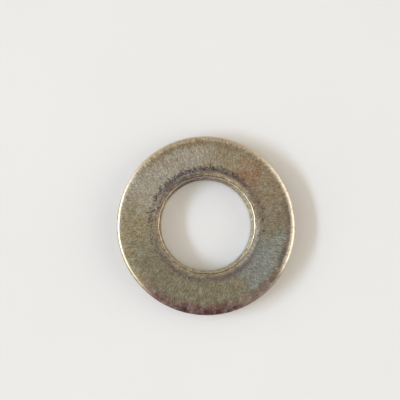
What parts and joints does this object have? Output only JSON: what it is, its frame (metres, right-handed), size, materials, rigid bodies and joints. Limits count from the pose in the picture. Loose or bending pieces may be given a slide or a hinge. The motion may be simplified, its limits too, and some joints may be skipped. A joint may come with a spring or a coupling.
{
  "type": "flat washer",
  "caption": "Round flat washer of zinc plated steel: a punched ring that goes under a bolt head or nut and spreads its clamping load.",
  "frame": {"origin": "centre of the hole, in the plane of the lower face, the one whose outer edge is sharp", "axes": "+Z along the hole, out of the upper face, the one with the rolled rim; X and Y lie in the lower face and are alike, because the ring is round"},
  "size_m": [0.027, 0.027, 0.0024],
  "materials": {
    "yellow_zinc_plate": "satin"
  },
  "bodies": {
    "root": {"washer": "yellow_zinc_plate"}
  },
  "joints": []
}
